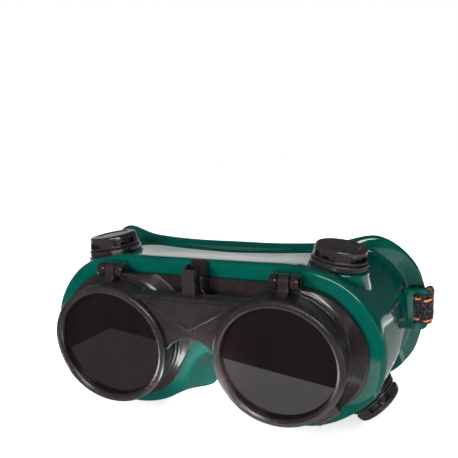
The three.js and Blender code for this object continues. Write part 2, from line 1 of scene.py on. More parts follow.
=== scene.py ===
"""Looks of the flip-front welding goggles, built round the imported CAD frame.

Shapes are written in the design frame, in millimetres: X across the face, +Y from the lenses
towards the wearer, +Z up, with the origin midway between the dark lenses on the front plane
of the flip front. The matrix PLACE carries them into the row frame, in metres.
"""
import math

import bmesh
import bpy
import numpy as np
from mathutils import Matrix, Vector


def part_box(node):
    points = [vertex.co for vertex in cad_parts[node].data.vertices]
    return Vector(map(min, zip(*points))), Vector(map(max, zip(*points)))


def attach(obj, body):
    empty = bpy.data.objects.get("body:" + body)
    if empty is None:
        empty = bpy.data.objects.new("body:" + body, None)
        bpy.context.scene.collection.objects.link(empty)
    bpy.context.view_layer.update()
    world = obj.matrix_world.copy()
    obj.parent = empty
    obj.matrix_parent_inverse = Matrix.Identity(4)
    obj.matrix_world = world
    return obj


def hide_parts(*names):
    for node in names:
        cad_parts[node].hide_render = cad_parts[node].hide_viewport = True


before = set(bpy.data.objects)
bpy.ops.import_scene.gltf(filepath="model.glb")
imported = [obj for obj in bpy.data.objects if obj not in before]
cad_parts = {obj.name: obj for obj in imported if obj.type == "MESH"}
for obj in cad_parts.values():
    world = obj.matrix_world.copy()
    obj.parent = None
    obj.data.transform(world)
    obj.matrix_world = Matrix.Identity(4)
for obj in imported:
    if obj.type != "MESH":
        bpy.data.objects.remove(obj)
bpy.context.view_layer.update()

# ---- the two frames ----

LEAN = math.radians(8.6)
LENS_X = 38.25
SHADE_MIDDLE_Y = 4.6
SIDES = ((-1, "left"), (1, "right"))

shade_low, shade_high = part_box("shade_lens_right")
LEAN_TURN = Matrix.Rotation(LEAN, 4, "X")
ORIGIN = (shade_low + shade_high) / 2 - LEAN_TURN @ (Vector((LENS_X, SHADE_MIDDLE_Y, 0)) / 1000)
PLACE = Matrix.Translation(ORIGIN) @ LEAN_TURN @ Matrix.Scale(0.001, 4)


# ---- meshes ----

def add_object(name, bm):
    mesh = bpy.data.meshes.new(name)
    bm.to_mesh(mesh)
    bm.free()
    obj = bpy.data.objects.new(name, mesh)
    bpy.context.scene.collection.objects.link(obj)
    return obj


def from_points(points, faces, name="shape"):
    """An object from points in millimetres, with doubled points merged and faces outwards."""
    mesh = bpy.data.meshes.new(name)
    mesh.from_pydata([tuple(p) for p in points], [], faces)
    bm = bmesh.new()
    bm.from_mesh(mesh)
    bpy.data.meshes.remove(mesh)
    bmesh.ops.remove_doubles(bm, verts=bm.verts, dist=1e-4)
    bmesh.ops.recalc_face_normals(bm, faces=bm.faces)
    return add_object(name, bm)


def web(count, size, closed, columns):
    """The faces between neighbouring rows: count rows, each of size points."""
    faces = []
    for i in range(count if closed else count - 1):
        here, there = i * size, (i + 1) % count * size
        for j in range(columns):
            k = (j + 1) % size
            faces.append((here + j, here + k, there + k, there + j))
    return faces


def skin(rows, loop=False):
    """A skin over rows of equally many points. Each row is a closed loop; without loop the
    first and last rows are capped."""
    count, size = len(rows), len(rows[0])
    points = [p for row in rows for p in row]
    faces = web(count, size, loop, size)
    if not loop:
        faces.append(tuple(range(size)))
        faces.append(tuple(range((count - 1) * size, count * size)))
    return from_points(points, faces)


def rounded(points, radii, steps=4, loop=True):
    """The same line with each corner turned into a short curve. A radius is how far from the
    corner the curve starts; it is kept within half of each side."""
    points = [np.array(p, float) for p in points]
    if not hasattr(radii, "__len__"):
        radii = [radii] * len(points)
    line = []
    for i, p in enumerate(points):
        if radii[i] == 0 or (not loop and i in (0, len(points) - 1)):
            line.append(p)
            continue
        before = points[i - 1] - p
        after = points[(i + 1) % len(points)] - p
        start, end = [
            p + side * min(radii[i] / max(np.linalg.norm(side), 1e-9), 0.5)
            for side in (before, after)
        ]
        for k in range(steps + 1):
            s = k / steps
            line.append((1 - s) ** 2 * start + 2 * s * (1 - s) * p + s * s * end)
    return line


def turned(profile, segments=128):
    """A solid of revolution about Y from pairs of radius and depth, closed or with both ends
    on the axis."""
    on_axis = profile[0][0] == 0
    rows = []
    for i in range(segments):
        a = 2 * math.pi * i / segments
        rows.append([(r * math.cos(a), y, r * math.sin(a)) for r, y in profile])
    size = len(profile)
    points = [p for row in rows for p in row]
    return from_points(points, web(segments, size, True, size - 1 if on_axis else size))


def bevel(obj, width, segments=3, limit=0.5, chosen=None):
    """Rounds the edges sharper than limit, in radians; chosen picks among them."""
    bm = bmesh.new()
    bm.from_mesh(obj.data)
    edges = [
        e for e in bm.edges
        if e.calc_face_angle(0) > limit and (chosen is None or chosen(e))
    ]
    bmesh.ops.bevel(
        bm, geom=edges, offset=width, segments=segments, profile=0.5, affect="EDGES",
        clamp_overlap=True,
    )
    bm.to_mesh(obj.data)
    bm.free()
    return obj


def prism(outline, start, end, axis="Y", edge=0.4, segments=3):
    """An outline extruded along Y, from pairs of x and z, or along X, from pairs of y and z.
    The edges of its two ends are rounded."""
    bm = bmesh.new()
    at = (lambda p, a: (p[0], a, p[1])) if axis == "Y" else (lambda p, a: (a, p[0], p[1]))
    rings = [[bm.verts.new(at(p, a)) for p in outline] for a in (start, end)]
    for ring in rings:
        bm.faces.new(ring)
    for i in range(len(outline)):
        k = (i + 1) % len(outline)
        bm.faces.new((rings[0][i], rings[0][k], rings[1][k], rings[1][i]))
    bmesh.ops.recalc_face_normals(bm, faces=bm.faces)
    obj = add_object("shape", bm)
    if edge:
        index = "XYZ".index(axis)
        flat = lambda e: abs(e.verts[0].co[index] - e.verts[1].co[index]) < 1e-6
        bevel(obj, edge, segments, chosen=flat)
    return obj


def block(x0, x1, y0, y1, z0, z1, edge=0.4, segments=3):
    obj = prism([(x0, z0), (x1, z0), (x1, z1), (x0, z1)], y0, y1, edge=0)
    return bevel(obj, edge, segments) if edge else obj


def rod(radius, x0, x1, y, z, edge=0.3, segments=48):
    """A cylinder along X with rounded ends."""
    profile = rounded([(0, x0), (radius, x0), (radius, x1), (0, x1)], edge, 5, loop=False)
    return moved(turned(profile, segments), Matrix.Translation((0, y, z)) @ ALONG_X)


ALONG_X = Matrix(((0, 1, 0, 0), (1, 0, 0, 0), (0, 0, -1, 0), (0, 0, 0, 1)))


def moved(obj, matrix):
    obj.data.transform(matrix)
    if matrix.determinant() < 0:
        obj.data.flip_normals()
    return obj


def spun(make, count=4, offset=0):
    """Copies of a shape, each a quarter turn about Y from the one before."""
    return [moved(make(), Matrix.Rotation((i + offset) * math.pi / 2, 4, "Y"))
            for i in range(count)]


def at_lens(obj, side):
    return moved(obj, Matrix.Translation((side * LENS_X, 0, 0)))


def combined(first, others, operation):
    """Joins the others to the first, or cuts them out of it."""
    for other in others:
        modifier = first.modifiers.new("combine", "BOOLEAN")
        modifier.operation = operation
        modifier.solver = "MANIFOLD"
        modifier.object = other
        bpy.context.view_layer.update()
        shown = first.evaluated_get(bpy.context.evaluated_depsgraph_get())
        mesh = bpy.data.meshes.new_from_object(shown)
        first.modifiers.clear()
        if len(mesh.polygons) == 0:
            raise RuntimeError(f"{operation} left nothing of {first.name}")
        first.data = mesh
        bpy.data.objects.remove(other)
    return first


def fused(shapes):
    return combined(shapes[0], shapes[1:], "UNION")


def cut(shape, tools):
    return combined(shape, tools, "DIFFERENCE")


# ---- curves of the soft cup ----

class Route:
    """A centripetal Catmull-Rom curve through points; at(t) runs from 0 to 1."""

    def __init__(self, points, closed):
        self.points = [np.array(p, float) for p in points]
        self.closed = closed

    def at(self, t):
        points, count = self.points, len(self.points)
        place = (count if self.closed else count - 1) * t
        i = int(math.floor(place))
        weight = place - i
        if not self.closed and i >= count - 1:
            i, weight = count - 2, 1.0
        p1, p2 = points[i % count], points[(i + 1) % count]
        p0 = points[(i - 1) % count] if self.closed or i > 0 else 2 * points[0] - points[1]
        last = self.closed or i + 2 < count
        p3 = points[(i + 2) % count] if last else 2 * points[-1] - points[-2]
        d0, d1, d2 = [
            max(math.sqrt(np.linalg.norm(b - a)), 1e-4) for a, b in ((p0, p1), (p1, p2), (p2, p3))
        ]
        m1 = ((p1 - p0) / d0 - (p2 - p0) / (d0 + d1) + (p2 - p1) / d1) * d1
        m2 = ((p2 - p1) / d1 - (p3 - p1) / (d1 + d2) + (p3 - p2) / d2) * d1
        c2 = -3 * p1 + 3 * p2 - 2 * m1 - m2
        c3 = 2 * p1 - 2 * p2 + m1 + m2
        return p1 + m1 * weight + c2 * weight ** 2 + c3 * weight ** 3

    def tangent(self, t):
        step = 1e-4
        a, b = (t - step, t + step) if self.closed else (max(t - step, 0), min(t + step, 1))
        way = self.at(b % 1 if self.closed else b) - self.at(a % 1 if self.closed else a)
        return way / np.linalg.norm(way)


# right half of each rib of the cup, from the top centre down to the nose: x, y, z
FACE_Y = 20
FACE_THICK = 3
WALL = 3
FLANGE_THICK = 4.2
RIBS = {
    "face": [
        (0, 22.8, 35.5), (22, 22.8, 35.5), (43, 22.8, 35), (61, 22.8, 29.5), (74, 22.8, 15.8),
        (79.2, 22.8, 0), (75.8, 22.8, -19.2), (65.4, 22.8, -30.4), (51, 22.8, -38.2),
        (35, 22.8, -39.5), (20.5, 22.8, -35), (12, 22.8, -27), (6.9, 22.8, -15.8),
        (0, 22.8, -10),
    ],
    "wall": [
        (0, 46, 30), (23, 46, 30.2), (44, 46, 30.4), (63, 46, 25), (77, 47, 12.5),
        (81.8, 48, -2), (79, 50, -20), (67.4, 50, -31.4), (52, 50, -38.8), (36, 48, -39),
        (19.5, 44, -40.5), (11.8, 42, -38.6), (7, 40, -19.5), (0, 38, -9.5),
    ],
    "root": [
        (0, 62, 26.8), (24, 64, 27.5), (47, 67, 28.4), (66, 73, 25.5), (79, 80, 13),
        (84, 83, -3), (83, 87, -20), (75.5, 90, -33), (58, 87, -39.6), (40, 80, -39.4),
        (20, 60, -44.3), (11.3, 53, -43.3), (8, 50, -23.5), (0, 48, -10),
    ],
    "lip": [
        (0, 65, 31.3), (25, 66.5, 31), (49, 70, 31.8), (69, 77, 33.9), (85.6, 86.5, 18.8),
        (91.6, 90, 0), (89.2, 94.5, -22.5), (84.2, 98, -37.6), (72.5, 96, -49.2),
        (50, 90, -48.4), (28, 76, -46), (11.5, 60, -43.4), (8.6, 57, -26), (0, 55, -13),
    ],
}
CURVES = {
    name: Route(half + [(-x, y, z) for x, y, z in half[-2:0:-1]], True)
    for name, half in RIBS.items()
}

BODY_OPENING = 8.4
CARRIER_INSET = 6.9
CARRIER_LIP_INSET = 7.2
NOSE_EXTRA = 6.4
NOSE_SPREAD = 0.013
NOSE_SIDE_EXTRA = -1.7
NOSE_SIDE = 0.045
NOSE_SIDE_SPREAD = 0.03
CUP_STEPS = 288
OUTLINE_STEPS = 224


def rib_point(name, t, inset=0, y=None):
    """A point on a rib moved inwards in X and Z, at a depth of its own when y is given."""
    point = CURVES[name].at(t)
    way = CURVES[name].tangent(t)
    outward = np.array((-way[2], 0, way[0]))
    point = point - outward / np.linalg.norm(outward) * inset
    if y is not None:
        point[1] = y
    return point


def opening_point(t, inset, y):
    away = abs(t - 0.5)
    arch = NOSE_EXTRA * math.exp(-((away / NOSE_SPREAD) ** 2))
    flank = NOSE_SIDE_EXTRA * math.exp(-(((away - NOSE_SIDE) / NOSE_SIDE_SPREAD) ** 2))
    return rib_point("face", t, inset + arch + flank, y)


def opening_outline(inset):
    line = [opening_point(i / OUTLINE_STEPS, inset, 0) for i in range(OUTLINE_STEPS)]
    return [(p[0], p[2]) for p in line]


ALL = 99                         # rounding that takes up half of each side
WALL_SAMPLES = 9


def cup_section(t):
    """One closed section through the wall: front face, outer wall, flange, inner wall."""
    face, wall, root, lip = [rib_point(name, t) for name in ("face", "wall", "root", "lip")]
    outer = Route([face, wall, root], False)
    back = np.array((0, FLANGE_THICK, 0))
    corners = [
        (opening_point(t, BODY_OPENING, FACE_Y), 0.5),
        (rib_point("face", t, 3.9, FACE_Y), ALL),
        (rib_point("face", t, 0.9, FACE_Y + 0.5), ALL),
    ]
    corners += [(outer.at(i / WALL_SAMPLES), 0 if i else ALL) for i in range(WALL_SAMPLES)]
    corners += [
        (root, 4.5),
        ((root + lip) / 2 + (0, -0.4, 0), ALL),
        (lip, 1.7),
        (rib_point("lip", t, 0.8) + back, 1.7),
        (root * 0.6 + lip * 0.4 + back + (0, 0.6, 0), ALL),
        (rib_point("root", t, WALL) + (0, 1.5, 0), ALL),
        (rib_point("wall", t, WALL), ALL),
        (rib_point("face", t, WALL, FACE_Y + FACE_THICK + 3), ALL),
        (rib_point("face", t, 5.6, FACE_Y + FACE_THICK), ALL),
        (opening_point(t, BODY_OPENING, FACE_Y + FACE_THICK), 0.5),
    ]
    return rounded([p for p, _ in corners], [r for _, r in corners], 5)


# ---- vents ----

CAP_R = 11.9
CAP_TOP_R = 11.2
CAP_HEIGHT = 5.9
CAP_WALL = 1.8
COLLAR_R = 9.9
BASE_R = 12.8
VENT_HOLE_R = 6
AIR_BORE_R = 2.7
GAP = 0.3
BASE_TOP = CAP_WALL + GAP
SEAT_LEVEL = 9
NECK_DEPTH = 16
WINDOW_TOP = 2.4
WINDOW_BOTTOM = 4.9
WINDOW_HALF = 5.6
GATE_HALF = 1.8
BOSS_R = 13.4
BOSS_FOOT_R = 17
BOSS_DEPTH = 20
VENT_SEGMENTS = 112
VENT_HOLE_SEGMENTS = 64
TOP_VENT_TURN = 1.05
BOTTOM_VENT_TURN = 0.44


def vent_matrix(top, axis, turn):
    """Turns a piece made about Y, with its top at the origin, onto the vent's axis."""
    up = Vector(axis).normalized()
    right = up.cross(Vector((0, -1, 0))).normalized()
    front = right.cross(up)
    basis = Matrix((right, up, front)).transposed().to_4x4()
    return Matrix.Translation(top) @ basis @ Matrix.Rotation(turn, 4, "Y")


VENTS = {}
for side, side_name in SIDES:
    VENTS[f"top_{side_name}"] = vent_matrix(
        (side * 57.3, 43.2, 38.8), (side * 0.15, 0.05, 0.99), TOP_VENT_TURN)
    VENTS[f"bottom_{side_name}"] = vent_matrix(
        (side * 74.6, 41.6, -35), (side * 0.69, -0.03, -0.72), -side * BOTTOM_VENT_TURN)


def vent_cap(place):
    profile = rounded(
        [
            (0, -0.35), (7.6, -0.35), (8.1, 0), (CAP_TOP_R, 0), (CAP_R - 0.3, -2.2),
            (CAP_R, -WINDOW_BOTTOM), (CAP_R + 0.25, -5.1), (CAP_R + 0.25, -CAP_HEIGHT),
            (COLLAR_R + GAP, -CAP_HEIGHT), (COLLAR_R + GAP, -CAP_WALL), (0, -CAP_WALL),
        ],
        [0, 0.4, 0.4, 1.1, 0.5, 0.15, 0.2, 0.25, 0.2, 0.3, 0], 5, loop=False)
    cap = turned(profile, VENT_SEGMENTS)
    windows = spun(lambda: block(-WINDOW_HALF, WINDOW_HALF, -WINDOW_BOTTOM, -WINDOW_TOP,
                                 COLLAR_R - 3, CAP_R + 3, 0.35))
    return moved(cut(cap, windows), place)


def vent_base(place):
    profile = rounded(
        [
            (AIR_BORE_R, -BASE_TOP), (COLLAR_R, -BASE_TOP), (COLLAR_R, -CAP_HEIGHT - GAP),
            (BASE_R - 0.5, -CAP_HEIGHT - GAP), (BASE_R, -CAP_HEIGHT - GAP - 0.5),
            (BASE_R, -SEAT_LEVEL), (VENT_HOLE_R - GAP, -SEAT_LEVEL),
            (VENT_HOLE_R - GAP, -NECK_DEPTH), (AIR_BORE_R, -NECK_DEPTH),
        ],
        [0.3, 0.3, 0.2, 0.3, 0.4, 0.5, 0.2, 0.4, 0.3], 4)
    gates = spun(lambda: block(-CAP_R, CAP_R, -WINDOW_BOTTOM, 1 - WINDOW_BOTTOM, -GATE_HALF,
                               GATE_HALF, 0), 2)
    return moved(cut(turned(profile, VENT_SEGMENTS), gates), place)


def vent_boss(place):
    """Seat moulded on the cup under the base, flared where it meets the wall."""
    profile = rounded(
        [
            (0, -SEAT_LEVEL - GAP), (BOSS_R, -SEAT_LEVEL - GAP), (BOSS_R + 0.9, -12.5),
            (BOSS_FOOT_R, -BOSS_DEPTH), (0, -BOSS_DEPTH),
        ],
        [0, 0.7, 2, 0, 0], 5, loop=False)
    return moved(turned(profile, VENT_SEGMENTS), place)


def vent_room(place):
    return moved(turned([(0, 4), (BASE_R + 0.6, 4), (BASE_R + 0.6, -SEAT_LEVEL - GAP),
                         (0, -SEAT_LEVEL - GAP)], VENT_SEGMENTS), place)


def vent_hole(place):
    hole = turned([(0, -5), (VENT_HOLE_R, -5), (VENT_HOLE_R, -24), (0, -24)],
                  VENT_HOLE_SEGMENTS)
    return moved(hole, place)


# ---- cup ----

EAR_FRONT = 74.8
EAR_BACK = 77.8
EAR_ROOT = 81.4
EAR_OUT = 93
EAR_LOW = -12
EAR_HIGH = 8.6
SLOT_IN = 86
SLOT_OUT = 88.6
SLOT_PLAY = 0.8
STRAP_Z = -0.9
STRAP_WIDTH = 14


def ear(side):
    """The loop at the side of the cup that the headband folds round."""
    corners = [(EAR_ROOT, EAR_LOW), (EAR_OUT, EAR_LOW), (EAR_OUT, EAR_HIGH), (EAR_ROOT, EAR_HIGH)]
    outline = rounded(corners, [0, 4.4, 3.6, 0], 8)
    return prism([(side * x, z) for x, z in outline], EAR_FRONT, EAR_BACK, edge=0.7, segments=4)


def ear_slot(side):
    half = STRAP_WIDTH / 2 + SLOT_PLAY
    x0, x1 = sorted((side * SLOT_IN, side * SLOT_OUT))
    outline = rounded(
        [(x0, STRAP_Z - half), (x1, STRAP_Z - half), (x1, STRAP_Z + half), (x0, STRAP_Z + half)],
        0.8, 4)
    return prism(outline, EAR_FRONT - 4, EAR_BACK + 4, edge=0)


def cavity():
    """The space inside the cup, as wide as the inner side of its wall."""
    inset = WALL - 0.2
    steps = [i / CUP_STEPS for i in range(CUP_STEPS)]
    return skin([
        [rib_point("face", t, inset, FACE_Y + FACE_THICK) for t in steps],
        [rib_point("wall", t, inset) for t in steps],
        [rib_point("root", t, inset) for t in steps],
    ])


def make_cup():
    shell = skin([cup_section(i / CUP_STEPS) for i in range(CUP_STEPS)], loop=True)
    bosses = fused([vent_boss(place) for place in VENTS.values()])
    bosses = cut(bosses, [cavity()])
    shell = fused([shell, bosses] + [ear(side) for side, _ in SIDES])
    tools = [vent_room(place) for place in VENTS.values()]
    tools += [vent_hole(place) for place in VENTS.values()]
    tools += [ear_slot(side) for side, _ in SIDES]
    return cut(shell, tools)


# ---- carrier with the clear lenses ----

LENS_R = 25
SEAT_R = LENS_R + GAP
FLIP_DEPTH = 11
BARREL_FRONT = FLIP_DEPTH + GAP
BARREL_R = 26.1
CONE_R = 33.8
PLATE_FRONT = 17.6
PLATE_BACK = 19.7
CONE_FRONT = 14.4
LENS_SEGMENTS = 160
CORE_R = 20                      # inside every bore that is cut through a ring or barrel
CLEAR_OPENING_R = 23
CLEAR_FRONT = 18.2
CLEAR_THICK = 2
CLEAR_RING_FRONT = 11.8
NOTCH_HALF = 1.6
HINGE_X = 39.7
HINGE_Y = 12.2
HINGE_Z = 31.4
KNUCKLE_R = 3.3
KNUCKLE_LENGTH = 3.6
STEM_FOOT = 24
STEM_TOP = 29
ARM_WIDTH = 4.6
PIN_R = 1.2
PIN_CLEARANCE = 0.08
PIN_HEAD_R = 2.1
TONGUE_FRONT = 17.1
TONGUE_TOP = 36.6
CATCH_FOOT = 22
CATCH_ROOT_TOP = 29
CHEEK_IN = 3.5
CHEEK_OUT = 4.7


def barrel():
    """Stepped barrel round a clear lens, with the cone that joins it to the base plate."""
    return turned(rounded(
        [
            (CORE_R, BARREL_FRONT), (BARREL_R - 0.5, BARREL_FRONT), (BARREL_R, BARREL_FRONT + 0.6),
            (26.7, 12.9), (27.2, 13), (27.6, 14.1), (28.1, 14.3), (28.9, 14.9),
            (CONE_R, PLATE_FRONT), (CONE_R, PLATE_BACK), (CORE_R, PLATE_BACK),
        ],
        [0, 0.3, 0.4, 0.3, 0.25, 0.3, 0.3, 0.4, 0.5, 0, 0], 4), LENS_SEGMENTS)


def lens_bore():
    back = FACE_Y + FACE_THICK + 4
    seat = CLEAR_FRONT + CLEAR_THICK + GAP
    return turned([(0, BARREL_FRONT - 1), (SEAT_R, BARREL_FRONT - 1), (SEAT_R, seat),
                   (CLEAR_OPENING_R, seat), (CLEAR_OPENING_R, back), (0, back)],
                  LENS_SEGMENTS)


def knuckles(side):
    """Two fixed knuckles with the stem that carries them."""
    inner = HINGE_X - ARM_WIDTH / 2 - GAP
    outer = HINGE_X + ARM_WIDTH / 2 + GAP
    stem = rounded(
        [(HINGE_Y, STEM_FOOT), (PLATE_BACK, STEM_FOOT), (PLATE_BACK, STEM_TOP), (16.5, 31),
         (HINGE_Y, HINGE_Z + KNUCKLE_R - 0.3)], [0, 0, 1, 2, 0], 4)
    shapes = []
    for low, high in ((inner - KNUCKLE_LENGTH, inner), (outer, outer + KNUCKLE_LENGTH)):
        x0, x1 = sorted((side * low, side * high))
        shapes.append(rod(KNUCKLE_R, x0, x1, HINGE_Y, HINGE_Z, 1.1))
        shapes.append(prism(stem, x0 + 0.2, x1 - 0.2, "X", 0.5))
    x0, x1 = sorted((side * (inner - KNUCKLE_LENGTH), side * (outer + KNUCKLE_LENGTH)))
    shapes.append(block(x0, x1, HINGE_Y + KNUCKLE_R + 0.4, PLATE_BACK, STEM_FOOT,
                        STEM_TOP, 0.3))
    return shapes


def hinge_bore(side):
    half = ARM_WIDTH / 2 + KNUCKLE_LENGTH + 1
    radius = PIN_R + PIN_CLEARANCE
    return rod(radius, side * HINGE_X - half, side * HINGE_X + half, HINGE_Y, HINGE_Z, 0, 40)


def catch_tongue():
    """The spring tongue in the middle of the brow, between its two cheeks."""
    cheek = rounded(
        [
            (PLATE_BACK, CATCH_FOOT), (PLATE_BACK, CATCH_ROOT_TOP), (17, 35), (14, 35),
            (9.6, 31.5), (9.6, 26.5), (14, CATCH_FOOT),
        ],
        [0, 1, 1, 1, 1.2, 1.2, 1], 4)
    return [
        block(-3.2, 3.2, TONGUE_FRONT, TONGUE_FRONT + 1.7, 24, TONGUE_TOP, 0.35),
        prism(cheek, CHEEK_IN, CHEEK_OUT, "X", 0.25),
        prism(cheek, -CHEEK_OUT, -CHEEK_IN, "X", 0.25),
        block(-CHEEK_OUT, CHEEK_OUT, PLATE_FRONT, PLATE_BACK, CATCH_FOOT, CATCH_ROOT_TOP, 0.2),
    ]


def beyond_plate():
    """The space round the base plate's outline, which the cones stay out of."""
    column = prism(opening_outline(CARRIER_INSET), CONE_FRONT - 1, PLATE_BACK + 1, edge=0)
    return cut(block(-90, 90, CONE_FRONT, PLATE_BACK + 0.5, -60, 60, 0), [column])


def make_carrier():
    face_back = FACE_Y + FACE_THICK
    shapes = [
        prism(opening_outline(CARRIER_INSET), PLATE_FRONT, PLATE_BACK, edge=0.45),
        prism(opening_outline(BODY_OPENING + GAP), PLATE_BACK - 0.5, face_back + 1, edge=0),
        prism(opening_outline(CARRIER_LIP_INSET), face_back + GAP, face_back + 1.6, edge=0.3),
    ]
    for side, _ in SIDES:
        shapes.append(cut(at_lens(barrel(), side), [beyond_plate()]))
        shapes += knuckles(side)
    shapes += catch_tongue()
    tools = [at_lens(lens_bore(), side) for side, _ in SIDES]
    tools += [hinge_bore(side) for side, _ in SIDES]
    return cut(fused(shapes), tools)


def lens(front, back):
    return turned(rounded([(0, front), (LENS_R, front), (LENS_R, back), (0, back)],
                          0.3, 3, loop=False))


def clear_lens_ring():
    """Threaded retaining ring with a row of grip notches."""
    step = CLEAR_RING_FRONT + 0.7
    ring = turned(rounded(
        [(23.4, CLEAR_RING_FRONT + 0.3), (23.7, CLEAR_RING_FRONT), (24.2, CLEAR_RING_FRONT),
         (24.2, step), (LENS_R, step), (LENS_R, CLEAR_FRONT - GAP), (23.4, CLEAR_FRONT - GAP)],
        0.15, 3))
    return cut(ring, spun(lambda: block(-NOTCH_HALF, NOTCH_HALF, CLEAR_RING_FRONT - 1,
                                        CLEAR_RING_FRONT + 0.9, 22, 25.5, 0.2), offset=0.5))


# ---- flip front ----

FLIP_R = 26.8
FLIP_RIM_R = 27.6
FLIP_OPENING_R = 24.2
FLIP_LIP = 2.8
FLIP_SEGMENTS = 192
SHADE_FRONT = FLIP_LIP + GAP
SHADE_BACK = SHADE_FRONT + 3
BRIDGE_FRONT = 2
BRIDGE_TOP = 24.6
BRIDGE_TRAY = 9.5
CATCH_HALF = 3
CATCH_FRONT = 5.6
ARCH_HALF = 11.4
ARCH_SHOULDER = 7
ARCH_FOOT = -1
ARCH_TOP = 5.8
TAB_ANGLE = math.radians(140)
TAB_FRONT = 5.7
TAB_DEPTH = 4.3
TAB_HALF = 6.25
TAB_REACH = 5


def flip_ring():
    return turned(rounded(
        [(CORE_R, 0), (FLIP_R, 0), (FLIP_RIM_R, 0.9), (FLIP_RIM_R, 2.6), (27.3, 3.1),
         (27.2, FLIP_DEPTH), (CORE_R, FLIP_DEPTH)],
        [0, 0.5, 0.5, 0.4, 0.5, 0.5, 0], 5), FLIP_SEGMENTS)


def flip_bore():
    return turned([(0, -1), (26.35, -1), *[tuple(p) for p in rounded(
        [(25.6, -0.2), (24.35, 0.8), (FLIP_OPENING_R, 1.2), (FLIP_OPENING_R, FLIP_LIP)],
        0.4, 4, loop=False)], (SEAT_R, FLIP_LIP), (SEAT_R, FLIP_DEPTH + 1),
        (0, FLIP_DEPTH + 1)], FLIP_SEGMENTS)


def bridge():
    """The web between the two rings, with its arch over the nose and its raised triangle."""
    left = [(-28, BRIDGE_TOP), (-27, 4), (-14, -3), (-ARCH_HALF, ARCH_FOOT)]
    arch = [
        ((1 - s) ** 2 * -ARCH_HALF + 2 * s * (1 - s) * -ARCH_SHOULDER,
         (1 - s) ** 2 * ARCH_FOOT + 2 * s * (1 - s) * ARCH_TOP + s * s * ARCH_TOP)
        for s in np.linspace(0, 1, 11)[1:]
    ]
    half = left + arch
    web = half + [(-x, z) for x, z in half[-2::-1]]
    triangle = [(-22.4, 23.2), (0, 9.7), (22.4, 23.2)]
    hollow = [(-17.6, 22), (0, 11.7), (17.6, 22)]
    ridge = rounded([(2.4, BRIDGE_TOP - 2), (2.4, BRIDGE_TOP - 0.5), (BRIDGE_TRAY, BRIDGE_TOP),
                     (BRIDGE_TRAY, BRIDGE_TOP - 2)], [0, 0.7, 0.5, 0.5], 5)
    raised = prism(triangle, BRIDGE_FRONT - 0.3, BRIDGE_FRONT + 2, edge=0.6, segments=4)
    sunk = prism(hollow, BRIDGE_FRONT - 2, BRIDGE_FRONT + 0.35, edge=0.3, segments=3)
    return [
        prism(web, BRIDGE_FRONT + 1, BRIDGE_FRONT + 4, edge=0.7, segments=4),
        cut(raised, [sunk]),
        prism(ridge, -27.5, 27.5, "X", 0.2),
    ]


def hinge_arm(side):
    x0, x1 = side * HINGE_X - ARM_WIDTH / 2, side * HINGE_X + ARM_WIDTH / 2
    strip = rounded(
        [(HINGE_Y - KNUCKLE_R, HINGE_Z), (HINGE_Y, HINGE_Z), (HINGE_Y + 0.6, HINGE_Z - 2.5),
         (9.6, 24), (4, 24), (4, 26.6), (HINGE_Y - KNUCKLE_R, 28.4)], [0, 0, 1, 1, 0, 1, 2], 4)
    return [rod(KNUCKLE_R, x0, x1, HINGE_Y, HINGE_Z, 0.35), prism(strip, x0, x1, "X", 0.45)]


def catch_block():
    return [
        block(-CATCH_HALF, CATCH_HALF, CATCH_FRONT, 8.4, BRIDGE_TOP - 1, 35.2, 0.35),
        block(-CATCH_HALF, CATCH_HALF, CATCH_FRONT, BRIDGE_TRAY, BRIDGE_TOP - 1, 27, 0.3),
    ]


def finger_tab():
    """The grooved tab on one ring that lifts the flip front."""
    outline = rounded(
        [(-TAB_HALF, FLIP_R - 1.2), (-TAB_HALF, FLIP_R + TAB_REACH),
         (TAB_HALF, FLIP_R + TAB_REACH), (TAB_HALF, FLIP_R - 1.2)], [0, 1.8, 1.8, 0], 6)
    tab = prism(outline, TAB_FRONT, TAB_FRONT + TAB_DEPTH, edge=0.6, segments=4)
    grooves = [block(-5, 5, TAB_FRONT - 1, TAB_FRONT + 0.35, FLIP_R + z, FLIP_R + z + 0.6, 0.1)
               for z in (1.6, 2.9)]
    return at_lens(moved(cut(tab, grooves), Matrix.Rotation(TAB_ANGLE, 4, "Y")), 1)


def make_flip_frame():
    shapes = [at_lens(flip_ring(), side) for side, _ in SIDES]
    shapes += bridge()
    for side, _ in SIDES:
        shapes += hinge_arm(side)
    shapes += catch_block() + [finger_tab()]
    tools = [at_lens(flip_bore(), side) for side, _ in SIDES]
    tools += [hinge_bore(side) for side, _ in SIDES]
    return cut(fused(shapes), tools)


def shade_lens_ring():
    front, back = SHADE_BACK + GAP, SHADE_BACK + GAP + 3.6
    ring = turned(rounded(
        [(22.6, front), (LENS_R, front), (LENS_R, back - 0.8), (LENS_R - 0.5, back),
         (23.2, back), (22.6, back - 0.6)], 0.25, 3))
    return cut(ring, spun(lambda: block(-NOTCH_HALF, NOTCH_HALF, back - 1.2, back + 1,
                                        21.5, 25.5, 0.2), offset=0.5))


def hinge_pin(side):
    half = ARM_WIDTH / 2 + GAP + KNUCKLE_LENGTH
    head = half + GAP
    profile = rounded(
        [(0, -half), (PIN_R, -half), (PIN_R, head), (PIN_HEAD_R, head), (PIN_HEAD_R, head + 0.5),
         (0, head + 0.5)], [0, 0.3, 0.1, 0.1, 0.35, 0], 5, loop=False)
    pin = moved(turned(profile, 40), Matrix.Diagonal((side, 1, 1, 1)) @ ALONG_X)
    return moved(pin, Matrix.Translation((side * HINGE_X, HINGE_Y, HINGE_Z)))


# ---- headband ----

